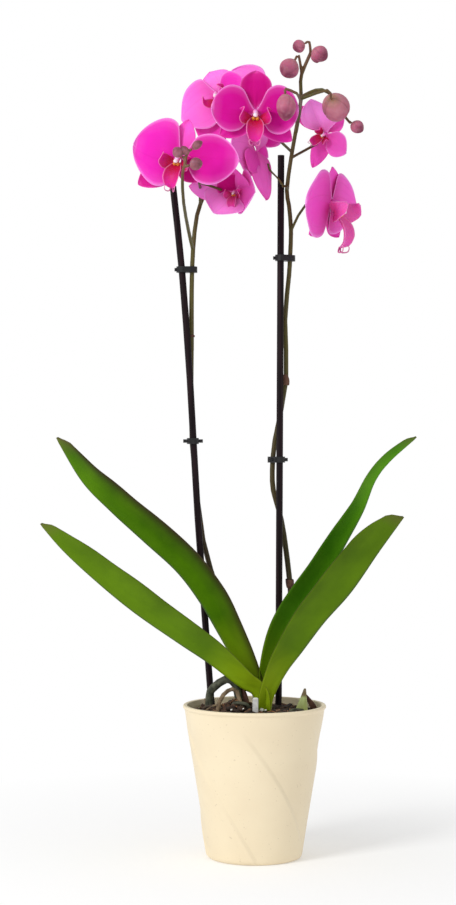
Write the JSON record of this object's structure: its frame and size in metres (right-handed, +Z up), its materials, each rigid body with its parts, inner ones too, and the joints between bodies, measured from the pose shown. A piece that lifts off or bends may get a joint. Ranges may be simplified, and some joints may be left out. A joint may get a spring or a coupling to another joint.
{
  "type": "potted orchid",
  "caption": "Moth orchid with magenta flowers and buds on staked spikes, folded strap leaves and bark, in a cream cover pot with spiral ridges.",
  "frame": {"origin": "centre of the flat underside of the cover pot", "axes": "+Z up along the pot and the plant; -Y is the side that most flowers face; +X to the right seen from that side"},
  "size_m": [0.3352, 0.1843, 0.7347],
  "materials": {
    "pot": "matte cream, thin-walled, moulded spiral ridges",
    "grow_pot": "smooth dark brown-black",
    "bark": "rough coarse bark",
    "crown": "waxy yellow-green stem",
    "leaf": "waxy, satin, purple-tinged edges",
    "leaf_stub": "cut leaf base, drying edge",
    "root": "matte velamen",
    "stake": "dark coated rod, satin",
    "clip": "satin black",
    "spike": "olive-brown stem, satin",
    "bud": "dusty pink, satin",
    "petal": "thin, soft sheen, pale edge",
    "sepal": "thin, soft sheen",
    "lip": "crimson, satin",
    "column": "pale pink-white, satin"
  },
  "bodies": {
    "root": {"bark_medium": "bark", "bud_front": "bud", "bud_left_1": "bud", "bud_left_2": "bud", "bud_left_3": "bud", "bud_right_1": "bud", "bud_right_2": "bud", "bud_top_1": "bud", "bud_top_2": "bud", "bud_top_3": "bud", "clip_left_1": "clip", "clip_left_2": "clip", "clip_right_1": "clip", "clip_right_2": "clip", "crown": "crown", "flower_1_column": "column", "flower_1_lip": "lip", "flower_1_petals": "petal", "flower_1_sepals": "sepal", "flower_2_column": "column", "flower_2_lip": "lip", "flower_2_petals": "petal", "flower_2_sepals": "sepal", "flower_3_column": "column", "flower_3_lip": "lip", "flower_3_petals": "petal", "flower_3_sepals": "sepal", "flower_4_column": "column", "flower_4_lip": "lip", "flower_4_petals": "petal", "flower_4_sepals": "sepal", "flower_5_column": "column", "flower_5_lip": "lip", "flower_5_petals": "petal", "flower_5_sepals": "sepal", "flower_6_column": "column", "flower_6_lip": "lip", "flower_6_petals": "petal", "flower_6_sepals": "sepal", "flower_7_column": "column", "flower_7_lip": "lip", "flower_7_petals": "petal", "flower_7_sepals": "sepal", "flower_8_column": "column", "flower_8_lip": "lip", "flower_8_petals": "petal", "flower_8_sepals": "sepal", "grow_pot": "grow_pot", "leaf_lower_left": "leaf", "leaf_lower_right": "leaf", "leaf_upper_left": "leaf", "leaf_upper_right": "leaf", "old_leaf_stub": "leaf_stub", "pot": "pot", "root_loop": "root", "root_tan": "root", "spike_left": "spike", "spike_right": "spike", "stake_left": "stake", "stake_right": "stake"}
  },
  "joints": []
}
